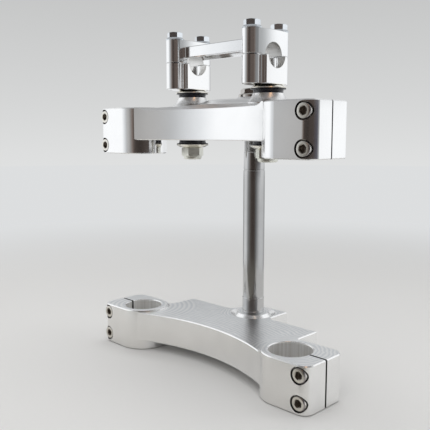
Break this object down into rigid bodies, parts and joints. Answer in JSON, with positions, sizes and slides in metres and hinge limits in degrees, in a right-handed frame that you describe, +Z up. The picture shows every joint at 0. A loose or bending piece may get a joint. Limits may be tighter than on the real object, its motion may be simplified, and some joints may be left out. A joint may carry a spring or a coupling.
{
  "type": "motorcycle triple clamp",
  "caption": "Motorcycle triple clamp: billet upper and lower fork clamps with split bosses on a steering stem, rubber mounted handlebar clamps joined by a bridge.",
  "frame": {"origin": "middle of the footprint, on the ground", "axes": "+Z up along the fork tubes and the steering stem, +X to the clamp's right end as seen from the front with the front facing -Y, -Y to the front"},
  "size_m": [0.271, 0.115, 0.3176],
  "materials": {
    "lower_clamp": "machined, fine tool marks, satin",
    "upper_clamp": "machined and polished",
    "bar_mount": "machined and polished",
    "bar_clamp_bridge": "machined, fine brushed faces",
    "stem": "ground, dark",
    "stem_nut": "turned",
    "spring_steel": "blackened",
    "screw": "plain, satin",
    "flange_bolt": "bright zinc plated",
    "cup_washer": "zinc plated",
    "lock_nut": "zinc plated",
    "bush_rubber": "semi gloss, moulded"
  },
  "bodies": {
    "root": {"lower_clamp": "lower_clamp", "upper_clamp": "upper_clamp", "steering_stem": "stem", "stem_retaining_ring": "spring_steel", "stem_top_washer": "stem_nut", "stem_top_nut": "stem_nut", "bar_clamp_bridge": "bar_clamp_bridge", "lower_clamp_screw_left_lower": "screw", "lower_clamp_screw_left_upper": "screw", "upper_clamp_screw_left_lower": "screw", "upper_clamp_screw_left_upper": "screw", "bar_mount_left": "bar_mount", "cap_bolt_front_left": "flange_bolt", "cap_bolt_rear_left": "flange_bolt", "upper_cup_washer_left": "cup_washer", "lower_cup_washer_left": "cup_washer", "upper_rubber_left": "bush_rubber", "lower_rubber_left": "bush_rubber", "mount_sleeve_left": "cup_washer", "mount_bolt_left": "screw", "lock_nut_left": "lock_nut", "lower_clamp_screw_right_lower": "screw", "lower_clamp_screw_right_upper": "screw", "upper_clamp_screw_right_lower": "screw", "upper_clamp_screw_right_upper": "screw", "bar_mount_right": "bar_mount", "cap_bolt_front_right": "flange_bolt", "cap_bolt_rear_right": "flange_bolt", "upper_cup_washer_right": "cup_washer", "lower_cup_washer_right": "cup_washer", "upper_rubber_right": "bush_rubber", "lower_rubber_right": "bush_rubber", "mount_sleeve_right": "cup_washer", "mount_bolt_right": "screw", "lock_nut_right": "lock_nut"}
  },
  "joints": []
}
